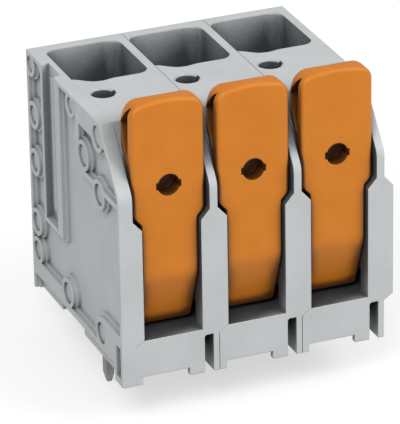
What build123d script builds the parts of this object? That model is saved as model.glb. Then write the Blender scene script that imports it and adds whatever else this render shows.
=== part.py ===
from build123d import *
import math
import os

os.makedirs("parts", exist_ok=True)

# Driving sizes of the row, in millimetres
poles = 3
pitch = 10.0
depth = 28.5
height = 29.7
side_wall = 0.95
end_plate_t = 1.6
width = end_plate_t + poles * pitch
left = -width / 2
front = -depth / 2

# Side outline: a sloped shoulder from the knee of the front face up to the top
knee_z = height - 6.85
knee_r = 2.2
slope_top_y = 5.3
edge_round = 0.12

# Lever pocket, seen from the front
pivot_y = 3.5
pivot_z = 10.0
cam_r = 4.3
sill_z = 5.33
flange_t = 2.1
flange_in = 1.05
flange_out = 1.06
shoulder_low_z = height - 11.05
shoulder_high_z = shoulder_low_z + 1.2
seam_z = 4.6
pocket_back_y = 3.2
bridge_under_z = pivot_z + cam_r + 0.6
seam_gap = 0.04

# Chamber of the clamp, open to the left and closed by the neighbour's wall
chamber_front_y = 9.5
chamber_back_y = depth - 2.9
chamber_top_z = height - 11.5

# Current bar: one folded strip with two solder pins
bar_t = 1.0
pin_w = 1.0
pin_len = 5.0
pin_tip = 1.1
pin_tip_w = 0.5
pin_gap = 0.1
bar_left_x = 1.06
bar_right_x = 8.2
bar_y = depth - 11.8
bar_front_pin_y = bar_y - 5.06
bar_back_pin_y = depth - 4.9
bar_band_z = 9.4
bar_band_h = 3.6
bar_tongue_w = 2.8
bar_tongue_z = 6.1
bar_top_w = 5.3
bar_top_z = chamber_top_z - 0.4
bar_bend_r = 1.0

# Underside of a pole
sill_wall = 0.7
foot_rise = 0.94
foot_left_w = 0.8
foot_right_x = 6.4
core_top_z = 4.4
core_margin_x = 0.8
rear_rim = 1.2
core_pockets = [
    (sill_wall, 4.9),
    (bar_front_pin_y - 3.24, bar_front_pin_y - 1.14),
    (bar_front_pin_y + 1.26, bar_front_pin_y + 3.76),
    (bar_back_pin_y - 4.5, bar_back_pin_y - 1.3),
]
slot_x = 8.19
slot_w = 1.08
slot_depth = 4.8
slot_corner = 0.35

# Conductor entry: a soft cornered well whose lower part narrows to a round throat
entry_front_y = depth - 11.75
entry_back_y = depth - 1.7
entry_right_x = 8.93
entry_left_x = -0.05
entry_r_back_left = 2.0
entry_r_back_right = 1.8
entry_r_front_right = 1.4
entry_straight = 5.2
entry_wave = [(4.5, 0), (3.15, -0.3), (2.04, -0.12), (1.16, 0.52), (0.7, 1.0), (entry_left_x, 1.45)]
funnel_bottom_z = chamber_top_z + 2.4
throat_x = 4.53
throat_y = depth - 8.0
throat_r = 3.1

# Test port in front of the well
port_x = 1.88
port_y = entry_front_y - 3.55
port_r = 1.28
port_notch_span = 2.9
port_notch_w = 0.8
port_chamfer = 0.2

# Joining posts of a pole: rearward place, height and radius of the hole that takes each
post_places = [
    (depth - 1.0, height - 1.5, 0.96),
    (depth - 1.6, height - 7.5, 1.16),
    (depth - 1.55, height - 13.4, 1.16),
    (depth - 1.55, 8.8, 1.16),
    (depth - 1.55, 5.2, 1.16),
    (14.6, height - 1.45, 0.96),
    (6.3, height - 1.9, 1.28),
    (10.9, height - 6.0, 1.3),
    (6.2, height - 8.8, 1.28),
    (17.2, 4.05, 1.3),
    (6.55, 3.85, 1.28),
]
post_gap = 0.1
post_len = 1.36
socket_depth = 1.55

# Lever
lever_x = 4.53
lever_w = 8.56
lever_low_w = 6.42
lever_face_y = 0.6
lever_plate = 1.1
lever_top_z = height + 3.75
lever_crown = 0.72
lever_corner = 1.5
lever_edge_r = 0.5
lever_step_gap = 0.35
lever_step_low_z = shoulder_low_z + lever_step_gap
lever_step_high_z = lever_step_low_z + 1.1
lever_step_rise = 0.35
lever_bend_z = 12.4
lever_bend_r = 4.0
lever_tuck_deg = 20.6
lever_toe_z = 5.92
lever_toe_r = 0.5
head_r = 3.6
head_tip_y = 5.05
head_slope_y = 1.75
head_slope_z = height - 4.8
head_web = 1.5
head_edge_r = 1.7
head_gap = 0.35
head_root = 0.1
hollow_reach = 0.3
hollow_top = 0.55
hollow_rim = 0.75
hollow_foot = 0.9
hollow_r = 0.15
bridge_web_h = 1.2
cam_gap_w = 2.6
eye_z = height - 6.38
eye_r = 1.3
eye_notch_span = 2.95
eye_notch_h = 0.85
eye_wall = 0.65
eye_boss_gap = 0.35
eye_floor = 0.25
trunnion_r = 1.5
trunnion_len = 1.2
trunnion_gap = 0.06
trunnion_end_gap = 0.05
bearing_r = 2.35

# Clamp spring: a cage loop of spring strip
spring_t = 0.5
spring_w = 5.6
spring_bend_r = 3.0
spring_cam_gap = 0.3
spring_leg_z = pivot_z - spring_bend_r + 0.6
spring_back_y = chamber_back_y - 0.5
spring_bar_gap = 0.05
spring_rest_z = chamber_top_z - 3.0
spring_foot_h = 2.2
spring_foot_r = 0.8
window_w = 3.8
window_edge = 0.9
window_front_y = bar_y - 1.1

# End plate relief: raised figures stand on a ledge halfway down to the fields
relief = 0.85
ledge_depth = 0.42
ledge_w = 0.32
rim = 0.6
rear_rim_w = 0.5
top_rim_h = 0.5
top_strip_z = height - 2.55
top_strip_y = 13.07
field_corner_r = 1.4
groove_back_y = depth - 5.15
groove_front_y = depth - 8.9
groove_depth = 0.95
groove_lean = 0.42
groove_lip_back = 0.65
groove_lip_front = 1.5
groove_bottom_z = 10.9
groove_lip_bottom = 0.55
groove_rib_y = depth - 6.8
groove_rib_w = 0.95
groove_rib_h = 0.25
groove_rib_end = 1.2
base_z = 1.94
notch_front_y = 14.2
notch_back_y = depth - 7.3
front_foot_y = 2.35
foot_sweep_r = 0.7
upright_rib_y = 12.0
upright_rib_z = height - 5.5
cross_rib_z = height - 8.35
cross_rib_h = 0.65
base_step_y = 17.0
base_rim_back_h = 2.0
base_rim_front_h = 0.66
base_block_y = 7.95
base_block_z = 6.0
base_block_r = 2.1
end_slot_y = 0.55
end_slot_z = 0.8
end_slot_w = 1.37
end_slot_h = 3.77
boss_wall = 0.5


def pole_x(pole):
    """Left boundary of a pole, counted from zero."""
    return left + end_plate_t + pole * pitch


def side_plane(x):
    """Upright plane across the row: first axis to the rear from the front face, second up."""
    return Plane(origin=(x, front, 0), x_dir=(0, 1, 0), z_dir=(1, 0, 0))


def level_plane(x, z):
    """Level plane: first axis to the right from x, second to the rear from the front face."""
    return Plane(origin=(x, front, z), x_dir=(1, 0, 0), z_dir=(0, 0, 1))


def front_plane(x, y=0):
    """Upright plane facing the front at depth y: first axis right, second up."""
    return Plane(origin=(x, front + y, 0), x_dir=(1, 0, 0), z_dir=(0, -1, 0))


def finish(part, name):
    part.label = name
    export_step(part, f"parts/{name}.step")
    box = part.bounding_box().size
    print(name, round(part.volume, 1), [round(v, 2) for v in box])
    return part


# Line of the pocket's leaning back wall, beside the back of the lever's head
head_lean = (lever_top_z - head_r - head_slope_z) / (head_tip_y - head_slope_y)
pocket_lean_z = head_slope_z + (pocket_back_y - head_slope_y - head_gap) * head_lean
pocket_top_y = head_slope_y + head_gap + (height - head_slope_z) / head_lean


def entry_cutter(pole):
    """Space of the conductor entry: upright well, slanted funnel and round throat."""
    x = pole_x(pole)
    mouth_z = height - entry_straight
    with BuildPart() as cutter:
        with BuildSketch(level_plane(x, height + 1)):
            with BuildLine():
                wave = Spline(
                    [(u, entry_front_y + v) for u, v in entry_wave],
                    tangents=[(-1, 0), (-1, 0.25)],
                )
                left_side = Line(wave @ 1, (entry_left_x, entry_back_y - entry_r_back_left))
                back_left = RadiusArc(
                    left_side @ 1,
                    (entry_left_x + entry_r_back_left, entry_back_y),
                    entry_r_back_left,
                )
                back = Line(back_left @ 1, (entry_right_x - entry_r_back_right, entry_back_y))
                back_right = RadiusArc(
                    back @ 1,
                    (entry_right_x, entry_back_y - entry_r_back_right),
                    entry_r_back_right,
                )
                right_side = Line(back_right @ 1, (entry_right_x, entry_front_y + entry_r_front_right))
                front_right = RadiusArc(
                    right_side @ 1,
                    (entry_right_x - entry_r_front_right, entry_front_y),
                    entry_r_front_right,
                )
                Line(front_right @ 1, wave @ 0)
            make_face()
        extrude(amount=funnel_bottom_z - height - 1)
        right_lean = Plane(
            origin=(x + entry_right_x, 0, mouth_z),
            z_dir=(mouth_z - funnel_bottom_z, 0, throat_x + throat_r - entry_right_x),
        )
        back_lean = Plane(
            origin=(0, front + entry_back_y, mouth_z),
            z_dir=(0, mouth_z - funnel_bottom_z, throat_y + throat_r - entry_back_y),
        )
        front_lean = Plane(
            origin=(0, front + entry_front_y, mouth_z),
            z_dir=(0, funnel_bottom_z - mouth_z, throat_y - throat_r - entry_front_y),
        )
        split(bisect_by=right_lean, keep=Keep.BOTTOM)
        split(bisect_by=back_lean, keep=Keep.BOTTOM)
        split(bisect_by=front_lean, keep=Keep.BOTTOM)
        with BuildSketch(level_plane(x, funnel_bottom_z + 0.5)):
            with Locations((throat_x, throat_y)):
                Circle(throat_r)
        extrude(amount=chamber_top_z - funnel_bottom_z - 1)
    return cutter.part


def port_cutter(pole):
    """Space of the round test port with its two side notches and chamfered rim."""
    x = pole_x(pole)
    with BuildPart() as cutter:
        with BuildSketch(level_plane(x, height)):
            with Locations((port_x, port_y)):
                Circle(port_r)
                Rectangle(port_notch_span, port_notch_w)
        extrude(amount=chamber_top_z - height - 1)
        with Locations((x + port_x, front + port_y, height)):
            Cone(
                port_r,
                port_r + port_chamfer,
                port_chamfer,
                align=(Align.CENTER, Align.CENTER, Align.MAX),
            )
    return cutter.part


def flange_outline(wall_left, wall_right, left_reach, right_reach):
    """Outline of the upright front flange on a side wall, with its 45 degree shoulders."""
    points = [(wall_left, seam_z), (wall_left, shoulder_high_z), (wall_right, shoulder_high_z)]
    if right_reach:
        points.append((wall_right + right_reach, shoulder_low_z))
        points.append((wall_right + right_reach, sill_z))
    points.append((wall_right, seam_z))
    if left_reach:
        points[1:1] = [(wall_left - left_reach, sill_z), (wall_left - left_reach, shoulder_low_z)]
    return points


def pole_housing(pole):
    x = pole_x(pole)
    inner_w = pitch - side_wall
    entry = entry_cutter(pole)
    port = port_cutter(pole)
    with BuildPart() as housing:
        with BuildSketch(side_plane(x)) as side:
            with BuildLine():
                Polyline(
                    (0, 0), (depth, 0), (depth, height), (slope_top_y, height), (0, knee_z), close=True
                )
            make_face()
            fillet(side.vertices().filter_by_position(Axis.Y, knee_z - 0.1, knee_z + 0.1), knee_r)
        extrude(amount=pitch)
        fillet(housing.faces().sort_by(Axis.X)[-1].edges(), edge_round)

        # Lever pocket and clamp chamber in one cut, open to the left
        with BuildSketch(side_plane(x)):
            with BuildLine():
                Polyline(
                    (-1, sill_z),
                    (chamber_back_y, sill_z),
                    (chamber_back_y, chamber_top_z),
                    (chamber_front_y, chamber_top_z),
                    (chamber_front_y, bridge_under_z),
                    (pocket_back_y, bridge_under_z),
                    (pocket_back_y, pocket_lean_z),
                    (pocket_top_y, height),
                    (pocket_top_y, height + 1),
                    (-1, height + 1),
                    close=True,
                )
            make_face()
        extrude(amount=inner_w, mode=Mode.SUBTRACT)

        # Raised underside between the feet, and the cored pockets in the base
        with BuildSketch(level_plane(x, 0)):
            with Locations((0, 0)):
                Rectangle(inner_w, depth - rear_rim, align=Align.MIN)
                Rectangle(foot_left_w, sill_wall, align=Align.MIN, mode=Mode.SUBTRACT)
            with Locations((foot_right_x, 0)):
                Rectangle(slot_x - foot_right_x, sill_wall, align=Align.MIN, mode=Mode.SUBTRACT)
        extrude(amount=foot_rise, mode=Mode.SUBTRACT)
        with BuildSketch(level_plane(x, 0)):
            for y_start, y_end in core_pockets:
                with Locations((core_margin_x, y_start)):
                    Rectangle(slot_x - 2 * core_margin_x, y_end - y_start, align=Align.MIN)
        extrude(amount=core_top_z, mode=Mode.SUBTRACT)

        # Upright slot beside the right wall
        with BuildSketch(front_plane(x)) as slot:
            with Locations((slot_x, 0)):
                Rectangle(slot_w, seam_z, align=Align.MIN)
            fillet(slot.vertices().group_by(Axis.Y)[-1].sort_by(Axis.X)[0], slot_corner)
        extrude(amount=-slot_depth, mode=Mode.SUBTRACT)

        # Seat for the neighbour's flange at the sill's left end
        with BuildSketch(front_plane(x)):
            with BuildLine():
                Polyline(
                    (-seam_gap, seam_z - seam_gap),
                    (flange_out + seam_gap, sill_z),
                    (flange_out + seam_gap, sill_z + seam_gap),
                    (-seam_gap, sill_z + seam_gap),
                    close=True,
                )
            make_face()
        extrude(amount=-flange_t - seam_gap, mode=Mode.SUBTRACT)

        # Front flange of the right wall
        with BuildSketch(front_plane(x)):
            with BuildLine():
                Polyline(*flange_outline(inner_w, pitch, flange_in, flange_out), close=True)
            make_face()
        extrude(amount=-flange_t)

        # Bearings for the lever on both sides of the right wall
        with BuildSketch(side_plane(x + inner_w - flange_in)):
            with Locations((pivot_y, pivot_z)):
                Circle(bearing_r)
        extrude(amount=side_wall + flange_in + flange_out)
        with BuildSketch(side_plane(x + inner_w - flange_in)):
            with Locations((pivot_y, pivot_z)):
                Circle(trunnion_r + trunnion_gap)
        extrude(amount=trunnion_len, mode=Mode.SUBTRACT)
        with BuildSketch(side_plane(x + pitch + flange_out)):
            with Locations((pivot_y, pivot_z)):
                Circle(trunnion_r + trunnion_gap)
        extrude(amount=-trunnion_len, mode=Mode.SUBTRACT)

        # Joining posts on the left and their sockets on the right
        with BuildSketch(side_plane(x)):
            for y, z, r in post_places:
                with Locations((y, z)):
                    Circle(r - post_gap)
        extrude(amount=-post_len)
        with BuildSketch(side_plane(x + pitch)):
            for y, z, r in post_places:
                with Locations((y, z)):
                    Circle(r)
        extrude(amount=-socket_depth, mode=Mode.SUBTRACT)

        # Slots for the two solder pins
        with BuildSketch(level_plane(x, 0)):
            with Locations((bar_left_x, bar_front_pin_y), (bar_right_x, bar_back_pin_y)):
                Rectangle(pin_w + 2 * pin_gap, pin_w + 2 * pin_gap)
        extrude(amount=sill_z + 1, mode=Mode.SUBTRACT)

        add(entry, mode=Mode.SUBTRACT)
        add(port, mode=Mode.SUBTRACT)
    return finish(housing.part, f"pole_housing_{pole + 1}")


def end_plate():
    x = left
    slope_y = slope_top_y / (height - knee_z)
    lean = math.hypot(slope_top_y, height - knee_z) / (height - knee_z)
    outline = [(depth, 0), (depth, height), (slope_top_y, height), (0, knee_z), (0, 0)]
    with BuildPart() as plate:
        # Two layers: the raised figures, and below them the same figures a ledge wider
        for grow, start in ((0, 0), (ledge_w, ledge_depth)):
            edge = rim + grow
            strip_z = top_strip_z - grow
            with BuildSketch(side_plane(x + start)) as figures:
                with BuildLine():
                    Polyline(*outline, close=True)
                make_face()
                with BuildLine():
                    Polyline(
                        (edge, -1),
                        (depth - rear_rim_w - grow, -1),
                        (depth - rear_rim_w - grow, height - top_rim_h - grow),
                        (top_strip_y + grow, height - top_rim_h - grow),
                        (top_strip_y + grow, strip_z),
                        ((strip_z - knee_z) * slope_y + edge * lean, strip_z),
                        (edge, knee_z + edge * (1 - lean) / slope_y),
                        close=True,
                    )
                make_face(mode=Mode.SUBTRACT)
                # Lips round the groove, with a soft corner under the top rim
                lip_front = groove_front_y - groove_lip_front - grow
                lip_back = groove_back_y + groove_lip_back + grow
                lip_low = groove_bottom_z - groove_lip_bottom - grow
                with Locations((lip_front, lip_low)):
                    Rectangle(lip_back - lip_front, height - lip_low, align=Align.MIN)
                corner_z = height - top_rim_h - grow
                corner_r = field_corner_r - grow
                with BuildLine():
                    corner_bend = TangentArc(
                        (lip_back, corner_z - corner_r), (lip_back + corner_r, corner_z), tangent=(0, 1)
                    )
                    Polyline(corner_bend @ 1, (lip_back, corner_z), corner_bend @ 0)
                make_face()
                with Locations((upright_rib_y - grow, upright_rib_z - grow)):
                    Rectangle(
                        top_strip_y - upright_rib_y + 2 * grow,
                        top_strip_z - upright_rib_z + 2 * grow,
                        align=Align.MIN,
                    )
                with Locations((0, cross_rib_z - grow)):
                    Rectangle(upright_rib_y, cross_rib_h + 2 * grow, align=Align.MIN)
                with Locations((base_step_y - grow, base_z)):
                    Rectangle(depth - base_step_y + grow, base_rim_back_h + grow, align=Align.MIN)
                with Locations((0, base_z)):
                    Rectangle(base_step_y, base_rim_front_h + grow, align=Align.MIN)
                # Block round the front boss, with one soft upper corner
                block_y = base_block_y + grow
                block_z = base_block_z + grow
                with BuildLine():
                    block_top = Line((0, block_z), (block_y - base_block_r, block_z))
                    block_bend = TangentArc(
                        block_top @ 1, (block_y, block_z - base_block_r), tangent=block_top % 1
                    )
                    Polyline(block_bend @ 1, (block_y, base_z), (0, base_z), block_top @ 0)
                make_face()
                # Front foot, sweeping up to the base strip
                with BuildLine():
                    foot_side = Line((front_foot_y, 0), (front_foot_y, base_z - foot_sweep_r))
                    foot_sweep = TangentArc(
                        foot_side @ 1,
                        (front_foot_y + foot_sweep_r, base_z),
                        tangent=foot_side % 1,
                    )
                    Polyline(foot_sweep @ 1, (0, base_z), (0, 0), foot_side @ 0)
                make_face()
                for y, z, r in post_places:
                    with Locations((y, z)):
                        Circle(r + boss_wall + grow)
                with BuildLine():
                    Polyline(*outline, close=True)
                make_face(mode=Mode.INTERSECT)
                for y, z, r in post_places:
                    with Locations((y, z)):
                        Circle(r, mode=Mode.SUBTRACT)
                with Locations((end_slot_y, end_slot_z)):
                    Rectangle(end_slot_w, end_slot_h, align=Align.MIN, mode=Mode.SUBTRACT)
            extrude(amount=relief - start)
        # Inner layer, with a notch at the foot
        with BuildSketch(side_plane(x + relief)):
            with BuildLine():
                Polyline(
                    *outline,
                    (notch_front_y, 0),
                    (notch_front_y, base_z),
                    (notch_back_y, base_z),
                    (notch_back_y, 0),
                    close=True,
                )
            make_face()
            for y, z, r in post_places:
                with Locations((y, z)):
                    Circle(r, mode=Mode.SUBTRACT)
        extrude(amount=end_plate_t - relief)
        # Groove with leaning flanks, and a rib along its floor
        with BuildSketch(level_plane(x, groove_bottom_z)):
            with BuildLine():
                Polyline(
                    (-1, groove_front_y),
                    (0, groove_front_y),
                    (groove_depth, groove_front_y + groove_lean),
                    (groove_depth, groove_back_y + groove_lean),
                    (0, groove_back_y),
                    (-1, groove_back_y),
                    close=True,
                )
            make_face()
        extrude(amount=height, mode=Mode.SUBTRACT)
        with BuildSketch(side_plane(x + groove_depth - groove_rib_h)):
            with Locations((groove_rib_y, groove_bottom_z + groove_rib_end)):
                Rectangle(
                    groove_rib_w,
                    height - groove_bottom_z - 2 * groove_rib_end,
                    align=Align.MIN,
                )
        extrude(amount=groove_rib_h)
        # Soft knee, cut back along the whole front edge of the plate
        with BuildSketch(side_plane(x)) as knee:
            with BuildLine():
                Polyline(*outline, close=True)
            make_face()
            fillet(knee.vertices().filter_by_position(Axis.Y, knee_z - 0.1, knee_z + 0.1), knee_r)
        extrude(amount=end_plate_t, mode=Mode.INTERSECT)
        # Front flange and the lever's bearing on the inner side
        with BuildSketch(front_plane(x)):
            with BuildLine():
                Polyline(*flange_outline(relief, end_plate_t, 0, flange_out), close=True)
            make_face()
        extrude(amount=-flange_t)
        with BuildSketch(side_plane(x + end_plate_t)):
            with Locations((pivot_y, pivot_z)):
                Circle(bearing_r)
        extrude(amount=flange_out)
        with BuildSketch(side_plane(x + end_plate_t + flange_out)):
            with Locations((pivot_y, pivot_z)):
                Circle(trunnion_r + trunnion_gap)
        extrude(amount=-trunnion_len, mode=Mode.SUBTRACT)
    return finish(plate.part, "end_plate")


def lever(pole):
    x = pole_x(pole) + lever_x
    tuck = math.tan(math.radians(lever_tuck_deg))
    toe_y = lever_face_y + (lever_bend_z - lever_toe_z) * tuck
    back_y = lever_face_y + lever_plate
    arc_z = lever_top_z - head_r
    arc_y = head_tip_y - head_r
    with BuildPart() as body:
        # Side view: arched head with a hook, front plate with a soft bend, cam at the foot
        with BuildSketch(side_plane(x)) as side:
            with BuildLine():
                face = Line((lever_face_y, lever_bend_z), (lever_face_y, lever_top_z))
                nose = Line(face @ 1, (arc_y, lever_top_z))
                arch = CenterArc((arc_y, arc_z), head_r, 90, -90)
                Polyline(
                    arch @ 1,
                    (head_tip_y, head_slope_z - head_root),
                    (back_y, head_slope_z - head_root),
                    (back_y, pivot_z + cam_r + bridge_web_h),
                    (pivot_y, pivot_z + cam_r),
                    (pivot_y, lever_toe_z),
                    (toe_y, lever_toe_z),
                    face @ 0,
                )
            make_face()
            with Locations((pivot_y, pivot_z)):
                Circle(cam_r)
            # Keep what lies behind the front face and its tucked foot
            with BuildLine():
                Polyline(
                    (lever_face_y, lever_top_z),
                    (lever_face_y, lever_bend_z),
                    (toe_y + tuck, lever_toe_z - 1),
                    (depth, lever_toe_z - 1),
                    (depth, lever_top_z),
                    close=True,
                )
            make_face(mode=Mode.INTERSECT)
            bend = side.vertices().filter_by_position(Axis.Y, lever_bend_z - 0.1, lever_bend_z + 0.1)
            fillet(bend.sort_by(Axis.X)[0], lever_bend_r)
        extrude(amount=lever_w / 2, both=True)

        # Head rounded along both flanks, then its underside sloped off behind the plate
        arcs = body.edges().filter_by(GeomType.CIRCLE)
        fillet([edge for edge in arcs if edge.center().Z > arc_z], head_edge_r)
        with BuildSketch(side_plane(x)):
            with BuildLine():
                Polyline(
                    (head_tip_y + 1, arc_z),
                    (head_tip_y, arc_z),
                    (back_y, head_slope_z - head_root),
                    (back_y, head_slope_z - 1),
                    (head_tip_y + 1, head_slope_z - 1),
                    close=True,
                )
            make_face()
        extrude(amount=lever_w, both=True, mode=Mode.SUBTRACT)

        # Front view: crowned top with round corners, stepped shoulders, narrow foot
        with BuildSketch(front_plane(x)) as outline:
            with BuildLine():
                crown = ThreePointArc(
                    (-lever_w / 2, lever_top_z - lever_crown),
                    (0, lever_top_z),
                    (lever_w / 2, lever_top_z - lever_crown),
                )
                Polyline(
                    crown @ 1,
                    (lever_w / 2, lever_step_high_z),
                    (lever_low_w / 2, lever_step_low_z),
                    (lever_low_w / 2, lever_toe_z),
                    (-lever_low_w / 2, lever_toe_z),
                    (-lever_low_w / 2, lever_step_low_z),
                    (-lever_w / 2, lever_step_high_z),
                    crown @ 0,
                )
            make_face()
            fillet(outline.vertices().group_by(Axis.Y)[-1], lever_corner)
            fillet(outline.vertices().group_by(Axis.Y)[0], lever_toe_r)
        extrude(amount=-depth, mode=Mode.INTERSECT)

        # Soft edge round the upper part of the front face
        face_edges = body.faces().sort_by(Axis.Y)[0].edges()
        face_edges = face_edges.filter_by_position(Axis.Z, lever_step_high_z + lever_toe_r, lever_top_z + 1)
        fillet(face_edges, lever_edge_r)

        # Underside of the shoulders rises to the rear, so that they swing clear of the flanges
        for hand in (-1, 1):
            low_x = hand * lever_low_w / 2
            step_x = hand * (lever_w / 2 + 1)
            step_lean = (lever_step_high_z - lever_step_low_z) / (lever_w - lever_low_w) * 2
            step_z = lever_step_high_z + step_lean
            for y, rise in ((lever_face_y, 0), (back_y, lever_step_rise)):
                with BuildSketch(front_plane(x, y)):
                    with BuildLine():
                        Polyline(
                            (low_x, lever_step_low_z + rise),
                            (step_x, step_z + rise),
                            (step_x, lever_step_low_z - 2),
                            (low_x, lever_step_low_z - 2),
                            close=True,
                        )
                    make_face()
            loft(ruled=True, mode=Mode.SUBTRACT)

        # Three cornered hollows in both flanks of the head, with a web left between them
        for hand in (-1, 1):
            with BuildSketch(side_plane(x + hand * lever_w / 2)) as hollow:
                with BuildLine():
                    Polyline(
                        (back_y - hollow_reach, lever_top_z - hollow_top),
                        (head_tip_y - hollow_rim, arc_z + head_root),
                        (back_y + head_root, head_slope_z + hollow_foot),
                        close=True,
                    )
                make_face()
                fillet(hollow.vertices(), hollow_r)
            extrude(amount=-hand * (lever_w - head_web) / 2, mode=Mode.SUBTRACT)

        # Notched blind eye for a release tool, sunk into a short boss
        with BuildSketch(front_plane(x, lever_face_y + lever_plate / 2)):
            with Locations((0, eye_z)):
                Circle(eye_r + eye_wall)
        extrude(amount=-(pocket_back_y - eye_boss_gap - lever_face_y - lever_plate / 2))
        with BuildSketch(front_plane(x)):
            with Locations((0, eye_z)):
                Circle(eye_r)
                Rectangle(eye_notch_span, eye_notch_h)
        extrude(amount=-(pocket_back_y - eye_boss_gap - eye_floor), mode=Mode.SUBTRACT)

        # Gap between the two cams, and the trunnions outside them
        with BuildSketch(side_plane(x)):
            with Locations((toe_y + lever_plate, lever_toe_z - 1)):
                Rectangle(2 * cam_r, 2 * cam_r + 3, align=Align.MIN)
        extrude(amount=cam_gap_w / 2, both=True, mode=Mode.SUBTRACT)
        for hand in (-1, 1):
            with BuildSketch(side_plane(x + hand * lever_low_w / 2)):
                with Locations((pivot_y, pivot_z)):
                    Circle(trunnion_r)
            extrude(amount=hand * (trunnion_len - trunnion_end_gap))
    return finish(body.part, f"lever_{pole + 1}")


def current_bar(pole):
    x = pole_x(pole)
    with BuildPart() as bar:
        # Folded band: a wall across the pole with one flank forward and one to the rear
        with BuildSketch(level_plane(x, bar_band_z)):
            with BuildLine() as fold:
                FilletPolyline(
                    (bar_left_x, bar_front_pin_y - pin_w / 2),
                    (bar_left_x, bar_y),
                    (bar_right_x, bar_y),
                    (bar_right_x, bar_back_pin_y + pin_w / 2),
                    radius=bar_bend_r,
                )
            trace(line_width=bar_t)
        extrude(amount=bar_band_h)
        # Contact wall above the band and tongue below it
        with BuildSketch(front_plane(x, bar_y - bar_t / 2)):
            with Locations((throat_x, bar_band_z)):
                Rectangle(bar_top_w, bar_top_z - bar_band_z, align=(Align.CENTER, Align.MIN))
                Rectangle(bar_tongue_w, bar_band_z - bar_tongue_z, align=(Align.CENTER, Align.MAX))
        extrude(amount=-bar_t)
        # Solder pins with tapered tips
        with BuildSketch(level_plane(x, bar_band_z)):
            with Locations((bar_left_x, bar_front_pin_y), (bar_right_x, bar_back_pin_y)):
                Rectangle(pin_w, pin_w)
        extrude(amount=-bar_band_z - pin_len + pin_tip)
        for pin_x, pin_y in ((bar_left_x, bar_front_pin_y), (bar_right_x, bar_back_pin_y)):
            for z, w in ((pin_tip - pin_len, pin_w), (-pin_len, pin_tip_w)):
                with BuildSketch(level_plane(x, z)):
                    with Locations((pin_x, pin_y)):
                        Rectangle(w, w)
            loft()
    return finish(bar.part, f"current_bar_{pole + 1}")


def clamp_spring(pole):
    x = pole_x(pole) + throat_x
    bend_y = pivot_y + cam_r + spring_cam_gap + spring_t / 2 + spring_bend_r
    bend_z = spring_leg_z + spring_bend_r
    rest_y = bar_y - bar_t / 2 - spring_bar_gap - spring_t / 2
    with BuildPart() as spring:
        with BuildSketch(side_plane(x)):
            with BuildLine():
                leg = Line((spring_back_y, spring_leg_z), (bend_y, spring_leg_z))
                bend = CenterArc((bend_y, bend_z), spring_bend_r, -90, -200)
                FilletPolyline(
                    bend @ 1,
                    (rest_y, spring_rest_z),
                    (rest_y, spring_rest_z + spring_foot_h),
                    radius=spring_foot_r,
                )
            trace(line_width=spring_t)
        extrude(amount=spring_w / 2, both=True)
        # Window that the tongue of the bar and the conductor pass through
        with BuildSketch(level_plane(x, spring_leg_z - spring_t)):
            with Locations((0, spring_back_y - window_edge)):
                window_len = spring_back_y - window_edge - window_front_y
                Rectangle(window_w, window_len, align=(Align.CENTER, Align.MAX))
        extrude(amount=2 * spring_t, mode=Mode.SUBTRACT)
    return finish(spring.part, f"clamp_spring_{pole + 1}")


end_plate()
for pole in range(poles):
    pole_housing(pole)
    lever(pole)
    current_bar(pole)
    clamp_spring(pole)
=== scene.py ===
import math

import bmesh
import bpy
from mathutils import Matrix, Vector


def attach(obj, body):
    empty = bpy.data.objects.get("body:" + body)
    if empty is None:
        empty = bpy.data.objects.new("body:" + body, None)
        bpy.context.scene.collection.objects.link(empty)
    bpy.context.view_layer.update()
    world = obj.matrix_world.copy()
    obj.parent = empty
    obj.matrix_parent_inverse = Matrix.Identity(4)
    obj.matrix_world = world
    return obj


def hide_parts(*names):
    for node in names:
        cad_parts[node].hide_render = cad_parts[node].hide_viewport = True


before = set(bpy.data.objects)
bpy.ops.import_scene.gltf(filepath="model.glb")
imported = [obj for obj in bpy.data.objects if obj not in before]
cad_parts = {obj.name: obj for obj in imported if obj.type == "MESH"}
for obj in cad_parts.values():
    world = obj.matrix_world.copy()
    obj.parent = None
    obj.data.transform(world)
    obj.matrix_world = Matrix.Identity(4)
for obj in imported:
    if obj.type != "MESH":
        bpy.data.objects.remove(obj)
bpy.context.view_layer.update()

MM = 0.001                     # one millimetre in metres
PIN_TIP_Z = -5.0 * MM          # the pins stand on the floor


class Value:
    """A value that varies over a surface; sums on it read as plain arithmetic."""

    def __init__(self, finish, socket):
        self.finish = finish
        self.socket = socket

    def maths(self, operation, *terms, clamp=False):
        settings = {"operation": operation, "use_clamp": clamp}
        return self.finish.node("ShaderNodeMath", settings, dict(enumerate(terms)))

    def __add__(self, other):
        return self.maths("ADD", self, other)

    def __radd__(self, other):
        return self.maths("ADD", other, self)

    def __sub__(self, other):
        return self.maths("SUBTRACT", self, other)

    def __rsub__(self, other):
        return self.maths("SUBTRACT", other, self)

    def __mul__(self, other):
        return self.maths("MULTIPLY", self, other)

    def __rmul__(self, other):
        return self.maths("MULTIPLY", other, self)

    def limited(self):
        """The value held between 0 and 1."""
        return self.maths("ADD", self, 0.0, clamp=True)

    def eased(self, low, high, to_low=0.0, to_high=1.0):
        """A soft step from to_low to to_high while the value goes from low to high."""
        settings = {"interpolation_type": "SMOOTHSTEP", "clamp": True}
        sockets = {"Value": self, "From Min": low, "From Max": high,
                   "To Min": to_low, "To Max": to_high}
        return self.finish.node("ShaderNodeMapRange", settings, sockets)


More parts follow.
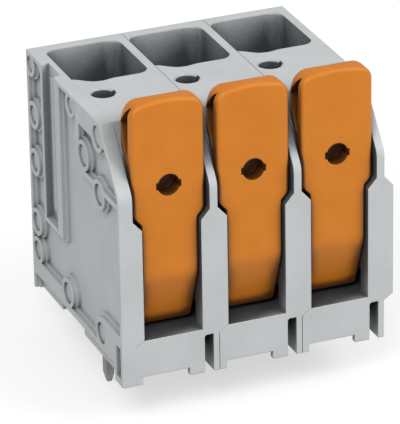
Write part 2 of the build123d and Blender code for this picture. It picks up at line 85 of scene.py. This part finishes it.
class Finish:
    """The shader nodes of one material or of the sky, each added by the method node."""

    MIX_SHARE, MIX_FIRST, MIX_SECOND, MIX_RESULT = 0, 6, 7, 2    # a Mix node's colour sockets
    RAYS = 8                                                     # for each bevel or recess test

    def __init__(self, owner):
        owner.use_nodes = True
        self.owner = owner
        self.tree = owner.node_tree
        self.tree.nodes.clear()

    def node(self, kind, settings=None, sockets=None, out=0):
        made = self.tree.nodes.new(kind)
        for setting, value in (settings or {}).items():
            setattr(made, setting, value)
        for place, value in (sockets or {}).items():
            if isinstance(value, Value):
                self.tree.links.new(value.socket, made.inputs[place])
            else:
                made.inputs[place].default_value = value
        return Value(self, made.outputs[out]) if made.outputs else None

    def place_mm(self, stretch=(1.0, 1.0, 1.0)):
        """Object coordinates in millimetres; a grain runs along an axis with a small stretch."""
        coords = self.node("ShaderNodeTexCoord", out="Object")
        sockets = {"Vector": coords, "Scale": [share / MM for share in stretch]}
        return self.node("ShaderNodeMapping", {"vector_type": "POINT"}, sockets)

    def along_mm(self, axis):
        """The place along X, Y or Z in millimetres from the origin; Y runs to the rear, Z up."""
        coords = self.node("ShaderNodeTexCoord", out="Object")
        return self.node("ShaderNodeSeparateXYZ", None, {"Vector": coords}, out=axis) * (1.0 / MM)

    def noise(self, place, size_mm, detail=2.0, roughness=0.5):
        sockets = {"Vector": place, "Scale": 1.0 / size_mm,
                   "Detail": detail, "Roughness": roughness}
        return self.node("ShaderNodeTexNoise", {"noise_dimensions": "3D"}, sockets)

    def mottle(self, cloud, fine, cloud_share):
        """Soft clouds with a finer pattern in them, from 0 to 1."""
        return (cloud.eased(0.3, 0.7) * cloud_share + fine * (1.0 - cloud_share)).limited()

    def blend(self, share, first, second):
        sockets = {self.MIX_SHARE: share, self.MIX_FIRST: first, self.MIX_SECOND: second}
        return self.node("ShaderNodeMix", {"data_type": "RGBA"}, sockets, out=self.MIX_RESULT)

    def rounded(self, radius_mm):
        """The surface direction as if each edge had a small radius."""
        return self.node("ShaderNodeBevel", {"samples": self.RAYS}, {"Radius": radius_mm * MM})

    def edge_share(self, rounded):
        """0 on a flat, rising towards 1 where an edge is rounded off."""
        flat = self.node("ShaderNodeNewGeometry", out="Normal")
        together = self.node("ShaderNodeVectorMath", {"operation": "DOT_PRODUCT"},
                             {0: rounded, 1: flat}, out="Value")
        return (1.0 - together).eased(0.01, 0.3)

    def openness(self, reach_mm, alone=True):
        """1 in the open, falling to 0 deep in a recess; alone leaves other pieces out of it."""
        settings = {"samples": self.RAYS, "only_local": alone}
        return self.node("ShaderNodeAmbientOcclusion", settings, {"Distance": reach_mm * MM},
                         out="AO")

    def hemmed_in(self, reach_mm):
        """0 in the open, rising to 1 where another piece stands close in front of the surface."""
        with_others = self.openness(reach_mm, alone=False)
        return (self.openness(reach_mm) - with_others).eased(0.03, 0.34)

    def bump(self, height, depth_mm, normal):
        sockets = {"Distance": depth_mm * MM, "Height": height, "Normal": normal}
        return self.node("ShaderNodeBump", None, sockets)

    def surface(self, constants, varying):
        shader = self.node("ShaderNodeBsdfPrincipled", None, {**constants, **varying})
        return self.finished(shader)

    def finished(self, shader, output="ShaderNodeOutputMaterial"):
        self.node(output, None, {"Surface": shader})
        return self.owner


# Colours, in linear light
WHITE = (1.0, 1.0, 1.0, 1.0)
BLACK = (0.0, 0.0, 0.0, 1.0)
PAPER = (0.45, 0.45, 0.45, 1.0)
SKY_WHITE = (0.985, 0.99, 1.0, 1.0)
GREY, GREY_CLOUD = (0.500, 0.525, 0.530, 1.0), (0.560, 0.582, 0.588, 1.0)
# painted highlight on the rounded edges of the grey moulding
GREY_HIGHLIGHT = (0.78, 0.80, 0.81, 1.0)
# painted shade in narrow corners
GREY_NOOK_SHADE = (0.150, 0.158, 0.162, 1.0)
# painted shadow of the levers on the housing
GREY_LEVER_SHADOW = (0.030, 0.033, 0.037, 1.0)
# painted shade in the recesses of the end plate and the housings
FLANK_RECESS_SHADE = (0.150, 0.157, 0.163, 1.0)
HOUSING_RECESS_SHADE = (0.018, 0.021, 0.024, 1.0)
ORANGE, ORANGE_STREAK = (0.595, 0.180, 0.006, 1.0), (0.650, 0.204, 0.010, 1.0)
# painted highlight on the lever's rounded edges
ORANGE_HIGHLIGHT = (0.80, 0.32, 0.060, 1.0)
# painted shade in the lever's recesses
ORANGE_RECESS_SHADE = (0.032, 0.009, 0.002, 1.0)
# painted shade on the lever beside the housing walls
ORANGE_WALL_SHADOW = (0.040, 0.012, 0.003, 1.0)
TIN, TIN_CRYSTAL = (0.20, 0.20, 0.198, 1.0), (0.29, 0.289, 0.286, 1.0)
COPPER_EDGE = (0.55, 0.51, 0.46, 1.0)
SPRING, SPRING_STRAW = (0.47, 0.475, 0.48, 1.0), (0.56, 0.545, 0.50, 1.0)
SPRING_EDGE = (0.72, 0.72, 0.72, 1.0)

MOULDED = {"Metallic": 0.0, "Specular IOR Level": 0.42}
BARE_METAL = {"Metallic": 1.0}


def grey_polyamide(name, shut, wide, shut_in_well, recess_shade):
    """Light grey moulding: fine eroded grain, faint clouding, edges painted lighter as a
    highlight.

    A recess takes on a painted shade colour as its openness falls from wide to shut, or to
    shut_in_well in a conductor well; narrow corners and the pocket round the levers get painted
    shade too."""
    highlight_share, recess_shade_share, nook_shade_share = 0.70, 0.94, 0.40
    finish = Finish(bpy.data.materials.new(name))
    place = finish.place_mm()
    cloud = finish.noise(place, size_mm=4.5, detail=3.0)
    fleck = finish.noise(place, size_mm=0.5)
    grain = finish.noise(place, size_mm=0.09)
    rounded = finish.rounded(radius_mm=0.17)
    edge = finish.edge_share(rounded)
    body = finish.blend(finish.mottle(cloud, fleck, cloud_share=0.7), GREY, GREY_CLOUD)
    # Edges painted lighter as a highlight
    painted_highlight = finish.blend(edge * highlight_share, body, GREY_HIGHLIGHT)
    # Painted shade in wide recesses; the wells lie at the rear, above the funnels
    opening = finish.openness(reach_mm=14.0)
    outside = 1.0 - opening.eased(shut, wide)
    in_well = 1.0 - opening.eased(shut_in_well, wide)
    well = finish.along_mm("Z").eased(22.0, 25.0) * finish.along_mm("Y").eased(1.0, 2.4)
    deep = outside + (in_well - outside) * well
    shaded_hollows = finish.blend(deep * recess_shade_share, painted_highlight, recess_shade)
    # Painted shade in narrow corners
    close = 1.0 - finish.openness(reach_mm=0.8).eased(0.15, 0.85)
    shaded_nooks = finish.blend(close * nook_shade_share, shaded_hollows, GREY_NOOK_SHADE)
    # Painted shadow behind and beside the levers, less so at the height of their heads
    low_down = finish.along_mm("Z").eased(21.5, 26.5, to_low=0.95, to_high=0.50)
    colour = finish.blend(finish.hemmed_in(reach_mm=4.5) * low_down, shaded_nooks, GREY_LEVER_SHADOW)
    rough = 0.46 + fleck * 0.10 - edge * 0.06
    normal = finish.bump(grain, depth_mm=0.006, normal=rounded)
    return finish.surface(MOULDED, {"Base Color": colour, "Roughness": rough, "Normal": normal})


def orange_polyamide():
    """Orange lever plastic: satin, faint flow streaks along the bent plate, painted edge
    highlights, painted shade.
    """
    highlight_share, recess_shade_share, wall_shadow_share = 0.24, 0.93, 0.90
    finish = Finish(bpy.data.materials.new("orange_polyamide"))
    place = finish.place_mm()
    along = finish.place_mm(stretch=(1.0, 1.0, 0.18))
    cloud = finish.noise(place, size_mm=3.2, detail=3.0)
    streak = finish.noise(along, size_mm=0.55, detail=3.0, roughness=0.6)
    grain = finish.noise(place, size_mm=0.10)
    rounded = finish.rounded(radius_mm=0.22)
    edge = finish.edge_share(rounded)
    body = finish.blend(finish.mottle(cloud, streak, cloud_share=0.55), ORANGE, ORANGE_STREAK)
    # Edges painted lighter as a highlight
    painted_highlight = finish.blend(edge * highlight_share, body, ORANGE_HIGHLIGHT)
    # Painted shade in the lever's recesses
    deep = 1.0 - finish.openness(reach_mm=5.0).eased(0.24, 0.92)
    shaded_hollows = finish.blend(deep * recess_shade_share, painted_highlight, ORANGE_RECESS_SHADE)
    # Painted shade where the housing walls stand close beside the lever
    beside_walls = finish.hemmed_in(reach_mm=2.0)
    colour = finish.blend(beside_walls * wall_shadow_share, shaded_hollows, ORANGE_WALL_SHADOW)
    rough = 0.40 + streak * 0.12 - edge * 0.05
    normal = finish.bump(grain, depth_mm=0.005, normal=rounded)
    return finish.surface(MOULDED, {"Base Color": colour, "Roughness": rough, "Normal": normal})


def tin_plate():
    """Satin tin over copper strip: cloudy crystals, thin drawn lines and a warmer sheared edge."""
    finish = Finish(bpy.data.materials.new("tin_plate"))
    place = finish.place_mm()
    drawn = finish.place_mm(stretch=(1.0, 1.0, 0.08))
    cloud = finish.noise(place, size_mm=1.6, detail=3.0, roughness=0.6)
    lines = finish.noise(drawn, size_mm=0.07)
    rounded = finish.rounded(radius_mm=0.06)
    edge = finish.edge_share(rounded)
    body = finish.blend(cloud.eased(0.3, 0.7), TIN, TIN_CRYSTAL)
    colour = finish.blend(edge * 0.45, body, COPPER_EDGE)
    rough = 0.36 + cloud * 0.16 + lines * 0.08
    normal = finish.bump(lines, depth_mm=0.003, normal=rounded)
    return finish.surface(BARE_METAL, {"Base Color": colour, "Roughness": rough, "Normal": normal})


def rolled_spring_steel():
    """Bright rolled strip: fine lines along the roll and a faint straw tint from tempering."""
    finish = Finish(bpy.data.materials.new("rolled_spring_steel"))
    rolled = finish.place_mm(stretch=(1.0, 0.05, 0.05))
    place = finish.place_mm()
    lines = finish.noise(rolled, size_mm=0.05)
    cloud = finish.noise(place, size_mm=2.4)
    rounded = finish.rounded(radius_mm=0.05)
    edge = finish.edge_share(rounded)
    body = finish.blend(cloud.eased(0.35, 0.7), SPRING, SPRING_STRAW)
    colour = finish.blend(edge * 0.4, body, SPRING_EDGE)
    rough = 0.24 + lines * 0.18
    normal = finish.bump(lines, depth_mm=0.002, normal=rounded)
    return finish.surface(BARE_METAL, {"Base Color": colour, "Roughness": rough, "Normal": normal})


def floor_finish():
    """Plain pale floor that keeps the block's soft shadow.

    It glows for what the eye, a gloss or a clear part sees, and not as light on the block."""
    finish = Finish(bpy.data.materials.new("pale_floor"))
    eye, gloss, clear = (finish.node("ShaderNodeLightPath", out=ray)
                         for ray in ("Is Camera Ray", "Is Glossy Ray", "Is Transmission Ray"))
    seen = (eye + gloss + clear).limited()
    paper = finish.node("ShaderNodeBsdfDiffuse", None, {"Color": PAPER})
    glow = finish.node("ShaderNodeEmission", None, {"Color": WHITE, "Strength": 0.60})
    nothing = finish.node("ShaderNodeEmission", None, {"Color": BLACK, "Strength": 0.0})
    lift = finish.node("ShaderNodeMixShader", None, {0: seen, 1: nothing, 2: glow})
    return finish.finished(finish.node("ShaderNodeAddShader", None, {0: paper, 1: lift}))


def studio_sky():
    """Even light on the block, and plain white where the camera looks past it."""
    finish = Finish(bpy.data.worlds.new("studio"))
    light = finish.node("ShaderNodeBackground", None, {"Color": SKY_WHITE, "Strength": 0.46})
    backdrop = finish.node("ShaderNodeBackground", None, {"Color": WHITE, "Strength": 1.0})
    seen = finish.node("ShaderNodeLightPath", out="Is Camera Ray")
    sky = finish.node("ShaderNodeMixShader", None, {0: seen, 1: light, 2: backdrop})
    return finish.finished(sky, output="ShaderNodeOutputWorld")


FINISHES = {
    "end_plate": grey_polyamide("flank_polyamide", shut=0.06, wide=0.84,
                                shut_in_well=0.06, recess_shade=FLANK_RECESS_SHADE),
    "pole_housing": grey_polyamide("housing_polyamide", shut=0.28, wide=1.00,
                                   shut_in_well=0.47, recess_shade=HOUSING_RECESS_SHADE),
    "lever": orange_polyamide(),
    "current_bar": tin_plate(),
    "clamp_spring": rolled_spring_steel(),
}

for name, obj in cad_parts.items():
    kind = next(key for key in FINISHES if name.startswith(key))
    obj.data.materials.clear()
    obj.data.materials.append(FINISHES[kind])

# Left edge of the first pole, pitch of the poles and front face of the block, in millimetres
FIRST_POLE_X, POLE_PITCH, FRONT_Y = -14.20, 10.0, -14.25

# Conductor wells, in millimetres: X from a pole's left edge, Y from the block's front face,
# Z from the seating plane
WELL_FRONT, WELL_MIDDLE, WELL_BACK = 16.75, 19.6, 26.8
WELL_LEFT, WELL_RIGHT = -0.40, 8.925
REAR_LEFT = -0.05              # the rear wall's left end
WELL_FLOOR, WELL_TOP = 24.5, 30.5
# Place along X and step to the rear of the front lip's wave
WAVE = [(4.50, 0.0), (3.15, -0.30), (2.04, -0.12), (1.16, 0.52), (0.70, 1.00), (-0.05, 1.45)]
WAVE_SPAN, WAVE_R = (0.3, 5.0), 0.32
FRONT_CORNER_SPAN, FRONT_CORNER_R = (8.0, 9.0), 1.4
BACK_CORNER_R = 1.9
# Height and step to the rear: a leaning rear wall, then its rounded rim
REAR_WALL = [(24.80, 0.0), (29.45, 0.56), (29.58, 0.63), (29.70, 0.80), (30.40, 0.80)]
MARGIN = 0.1                   # slack past an edge, and where places are told apart
SAME_CORNER = 0.0001           # corners nearer than this are joined
SHARP_ANGLE = math.radians(32.0)


def plan_face(shape, outline, height):
    """A level face with the outline's corners."""
    return shape.faces.new([shape.verts.new((x, y, height)) for x, y in outline])


def raised(shape, faces, move):
    """Extrudes the faces by the move and returns the new ones."""
    grown = bmesh.ops.extrude_face_region(shape, geom=faces)["geom"]
    verts = [part for part in grown if isinstance(part, bmesh.types.BMVert)]
    bmesh.ops.translate(shape, verts=verts, vec=move)
    return [part for part in grown if isinstance(part, bmesh.types.BMFace)]


def round_off(shape, parts, radius, affect="EDGES", segments=8):
    bmesh.ops.bevel(shape, geom=parts, offset=radius, affect=affect, segments=segments,
                    profile=0.5, material=-1, clamp_overlap=True)


def front_lip():
    """Upright prism that clears the front of a well to its true outline."""
    outline = [(WELL_LEFT, WELL_MIDDLE), (WELL_LEFT, WELL_FRONT + WAVE[-1][1] + MARGIN)]
    outline += [(x, WELL_FRONT + step) for x, step in reversed(WAVE)]
    outline += [(WELL_RIGHT, WELL_FRONT), (WELL_RIGHT, WELL_MIDDLE)]
    lip = bmesh.new()
    raised(lip, [plan_face(lip, outline, WELL_FLOOR)], (0.0, 0.0, WELL_TOP - WELL_FLOOR))

    def uprights(span):
        found = []
        for edge in lip.edges:
            low, high = (vert.co for vert in edge.verts)
            level = abs(low.z - high.z) < MARGIN
            if not level and span[0] < low.x < span[1] and low.y < WELL_MIDDLE - MARGIN:
                found.append(edge)
        return found

    round_off(lip, uprights(FRONT_CORNER_SPAN), FRONT_CORNER_R)
    round_off(lip, uprights(WAVE_SPAN), WAVE_R, segments=4)
    return lip


def rear_wall():
    """Wedge that cuts a well's rear wall back, so that it leans up to a rounded rim."""
    outline = [(REAR_LEFT, WELL_MIDDLE), (REAR_LEFT, WELL_BACK),
               (WELL_RIGHT, WELL_BACK), (WELL_RIGHT, WELL_MIDDLE)]
    wall = bmesh.new()
    base = plan_face(wall, outline, REAR_WALL[0][0])
    corners = [vert for vert in base.verts if vert.co.y > WELL_MIDDLE + MARGIN]
    round_off(wall, corners, BACK_CORNER_R, affect="VERTICES")
    layers = [wall.faces[:]]
    for (low, step), (high, further) in zip(REAR_WALL, REAR_WALL[1:]):
        layers.append(raised(wall, layers[-1], (0.0, further - step, high - low)))
    inner = [face for layer in layers[1:-1] for face in layer]
    bmesh.ops.delete(wall, geom=inner, context="FACES_ONLY")
    return wall


def cutter_in_row(shape, pole):
    """The finished shape at its pole, as an object to cut with, in millimetres."""
    bmesh.ops.recalc_face_normals(shape, faces=shape.faces)
    place = (FIRST_POLE_X + pole * POLE_PITCH, FRONT_Y, 0.0)
    bmesh.ops.translate(shape, verts=shape.verts, vec=place)
    mesh = bpy.data.meshes.new("well_cutter")
    shape.to_mesh(mesh)
    shape.free()
    cutter = bpy.data.objects.new("well_cutter", mesh)
    bpy.context.scene.collection.objects.link(cutter)
    return cutter


def join_corners(mesh, nearer_than):
    solid = bmesh.new()
    solid.from_mesh(mesh)
    bmesh.ops.remove_doubles(solid, verts=solid.verts, dist=nearer_than)
    solid.to_mesh(mesh)
    solid.free()


def copy_to_cut(node, name):
    """The node's mesh in millimetres with its loose triangles joined, ready to be cut."""
    mesh = node.data.copy()
    join_corners(mesh, SAME_CORNER * MM)
    mesh.transform(Matrix.Scale(1.0 / MM, 4))
    if "custom_normal" in mesh.attributes:
        mesh.attributes.remove(mesh.attributes["custom_normal"])
    piece = bpy.data.objects.new(name, mesh)
    bpy.context.scene.collection.objects.link(piece)
    return piece


def cut_well(number):
    """The housing with its well cut to the true outline, in place of the CAD node."""
    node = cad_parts[f"pole_housing_{number}"]
    piece = copy_to_cut(node, f"housing_shell_{number}")
    cutters = [cutter_in_row(shape, number - 1) for shape in (front_lip(), rear_wall())]
    for cutter in cutters:
        cut = piece.modifiers.new("well", "BOOLEAN")
        cut.operation = "DIFFERENCE"
        cut.solver = "EXACT"
        cut.object = cutter
    bpy.context.view_layer.update()
    done = piece.evaluated_get(bpy.context.evaluated_depsgraph_get())
    piece.data = bpy.data.meshes.new_from_object(done)
    piece.modifiers.clear()
    join_corners(piece.data, SAME_CORNER)
    piece.data.transform(Matrix.Scale(MM, 4))
    for cutter in cutters:
        bpy.data.objects.remove(cutter)
    for face in piece.data.polygons:
        face.use_smooth = True
    piece.data.set_sharp_from_angle(angle=SHARP_ANGLE)
    piece.data.materials.clear()
    piece.data.materials.append(FINISHES["pole_housing"])
    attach(piece, "block")
    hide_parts(f"pole_housing_{number}")


for number in (1, 2, 3):
    cut_well(number)

# Floor under the pin tips
FLOOR_SIZE = 4.0
bpy.ops.mesh.primitive_plane_add(size=FLOOR_SIZE, location=(0.0, 0.0, 0.0))
floor = bpy.context.object
floor.name = "studio_floor"
floor.data.transform(Matrix.Translation((0.0, 0.0, PIN_TIP_Z)))
floor.data.materials.append(floor_finish())

# Studio light
scene = bpy.context.scene
scene.world = studio_sky()
BLOCK_MIDDLE = Vector((0.0, 0.0, 0.015))


def softbox(name, place, side, watts):
    """A square studio lamp turned towards the block."""
    lamp = bpy.data.lights.new(name, "AREA")
    lamp.shape = "RECTANGLE"
    lamp.size = lamp.size_y = side
    lamp.energy = watts
    holder = bpy.data.objects.new(name, lamp)
    scene.collection.objects.link(holder)
    holder.location = place
    holder.rotation_euler = (BLOCK_MIDDLE - Vector(place)).to_track_quat("-Z", "Y").to_euler()


softbox("key_softbox", (-0.27, -0.34, 0.44), side=0.30, watts=2.0)
softbox("fill_softbox", (0.32, -0.28, 0.34), side=0.30, watts=1.2)
softbox("top_softbox", (0.02, 0.02, 0.60), side=0.36, watts=0.05)

# Camera where the photograph was taken from: its place, and its directions in the block's frame
STAND = Vector((-0.15645, -0.39032, 0.20775))
RIGHT = Vector((0.92593636, -0.37736416, -0.01543234))
DOWN = Vector((-0.17195087, -0.38483006, -0.90682894))
AHEAD = Vector((0.33626591, 0.84231949, -0.42121624))
SENSOR_MM, LENS_MM = 36.0, 347.64
NEAREST, FARTHEST = 0.01, 10.0

camera_data = bpy.data.cameras.new("photo_camera")
camera_data.sensor_width = SENSOR_MM
camera_data.lens = LENS_MM
camera_data.clip_start = NEAREST
camera_data.clip_end = FARTHEST
camera = bpy.data.objects.new("photo_camera", camera_data)
scene.collection.objects.link(camera)
turn = Matrix((RIGHT, -DOWN, -AHEAD)).transposed().to_4x4()
camera.matrix_world = Matrix.Translation(STAND) @ turn
scene.camera = camera

scene.view_settings.view_transform = "Standard"
